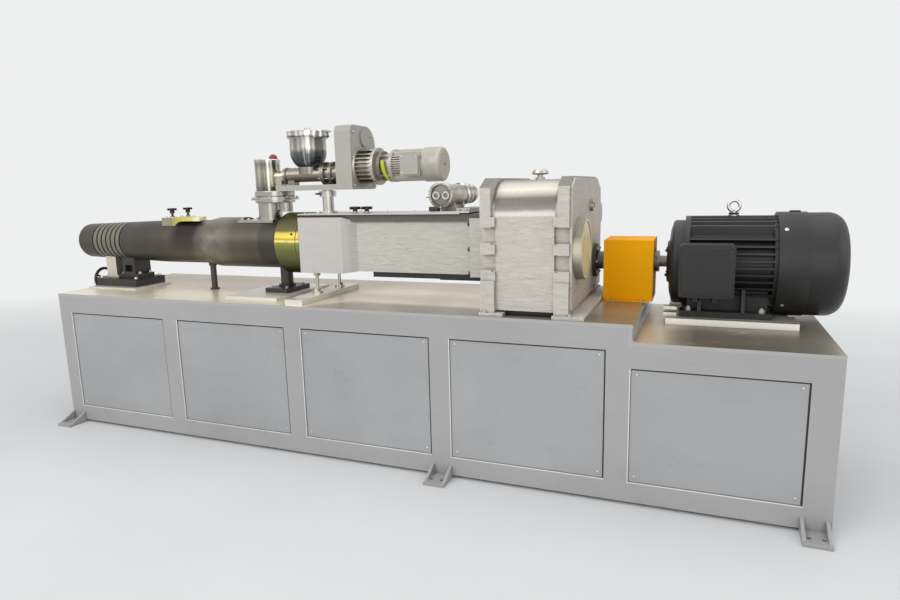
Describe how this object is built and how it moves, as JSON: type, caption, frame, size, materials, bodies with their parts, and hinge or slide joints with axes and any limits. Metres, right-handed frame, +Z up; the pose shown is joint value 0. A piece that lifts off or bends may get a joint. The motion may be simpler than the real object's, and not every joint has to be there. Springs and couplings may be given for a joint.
{
  "type": "plastic extruder",
  "caption": "Conical twin-screw plastic extruder on a panelled steel base, with tapered barrel, hopper feeder, gearbox and flange-coupled electric motor.",
  "frame": {"origin": "middle of the overall footprint, on the floor", "axes": "+X along the machine from the outlet to the motor, the panelled front faces -Y, +Z up"},
  "size_m": [4.204, 1.1, 1.6603],
  "materials": {
    "base_paint": "satin light grey enamel",
    "panel_paint": "satin light grey enamel",
    "deck_steel": "bare ground steel",
    "barrel_steel": "dark turned steel",
    "flange_chromate": "olive yellow passivated",
    "vent_chromate": "yellow passivated",
    "black_plastic": "black",
    "stainless": "polished stainless",
    "red_plastic": "red",
    "milled_steel": "milled",
    "black_steel": "black oxide",
    "black_iron": "black",
    "post_paint": "beige primer",
    "tube_steel": "ground",
    "feeder_paint": "silver grey",
    "reducer_metal": "cast",
    "gearbox_paint": "warm white over rough putty",
    "rim_paint": "grey primer",
    "cover_metal": "turned",
    "cooler_metal": "turned",
    "guard_paint": "orange yellow",
    "coupling_steel": "machined",
    "motor_paint": "charcoal"
  },
  "bodies": {
    "machine": {"side_walls": "base_paint", "end_walls": "base_paint", "upper_deck": "deck_steel", "motor_deck": "deck_steel", "panels": "panel_paint", "anchor_feet": "base_paint", "barrel": "barrel_steel", "barrel_flange": "flange_chromate", "vent_cover": "vent_chromate", "star_knobs": "black_plastic", "feed_chute": "stainless", "feed_clamp": "stainless", "feed_vessel": "stainless", "vessel_cap": "red_plastic", "drain_pipe": "black_steel", "deck_pads": "milled_steel", "front_slide": "black_steel", "front_post": "post_paint", "front_pedestal": "black_steel", "rear_post": "black_steel", "jack_rods": "milled_steel", "hopper_bowl": "stainless", "screw_tube": "tube_steel", "gear_case": "feeder_paint", "reducer": "reducer_metal", "feeder_motor": "feeder_paint", "feeder_terminal_box": "feeder_paint", "feeder_plate": "feeder_paint", "feeder_column": "stainless", "distribution_box": "gearbox_paint", "cover_rim": "rim_paint", "cover_plate": "milled_steel", "gearbox_casing": "gearbox_paint", "end_cover": "gearbox_paint", "bearing_covers": "cover_metal", "breather": "milled_steel", "oil_cooler": "cooler_metal", "cooler_bracket": "milled_steel", "coupling_guard": "guard_paint", "motor_frame": "motor_paint", "motor_cowl": "motor_paint", "motor_terminal_box": "motor_paint", "motor_rails": "milled_steel"},
    "drive_shaft": {"drive_coupling": "coupling_steel"},
    "handwheel": {"handwheel": "black_iron"},
    "lid": {"hopper_lid": "stainless"}
  },
  "joints": [
    {"name": "drive_shaft_spin", "type": "hinge", "parent": "machine", "child": "drive_shaft", "pos_m": [1.199, 0.215, 0.958], "axis": [1, 0, 0], "continuous": true},
    {"name": "handwheel_turn", "type": "hinge", "parent": "machine", "child": "handwheel", "pos_m": [-2.027, -0.075, 0.8125], "axis": [1, 0, 0], "continuous": true},
    {"name": "hopper_lid_hinge", "type": "hinge", "parent": "machine", "child": "lid", "pos_m": [-0.323, -0.075, 1.6393], "axis": [0, 1, 0], "range_deg": [0, 95]}
  ]
}
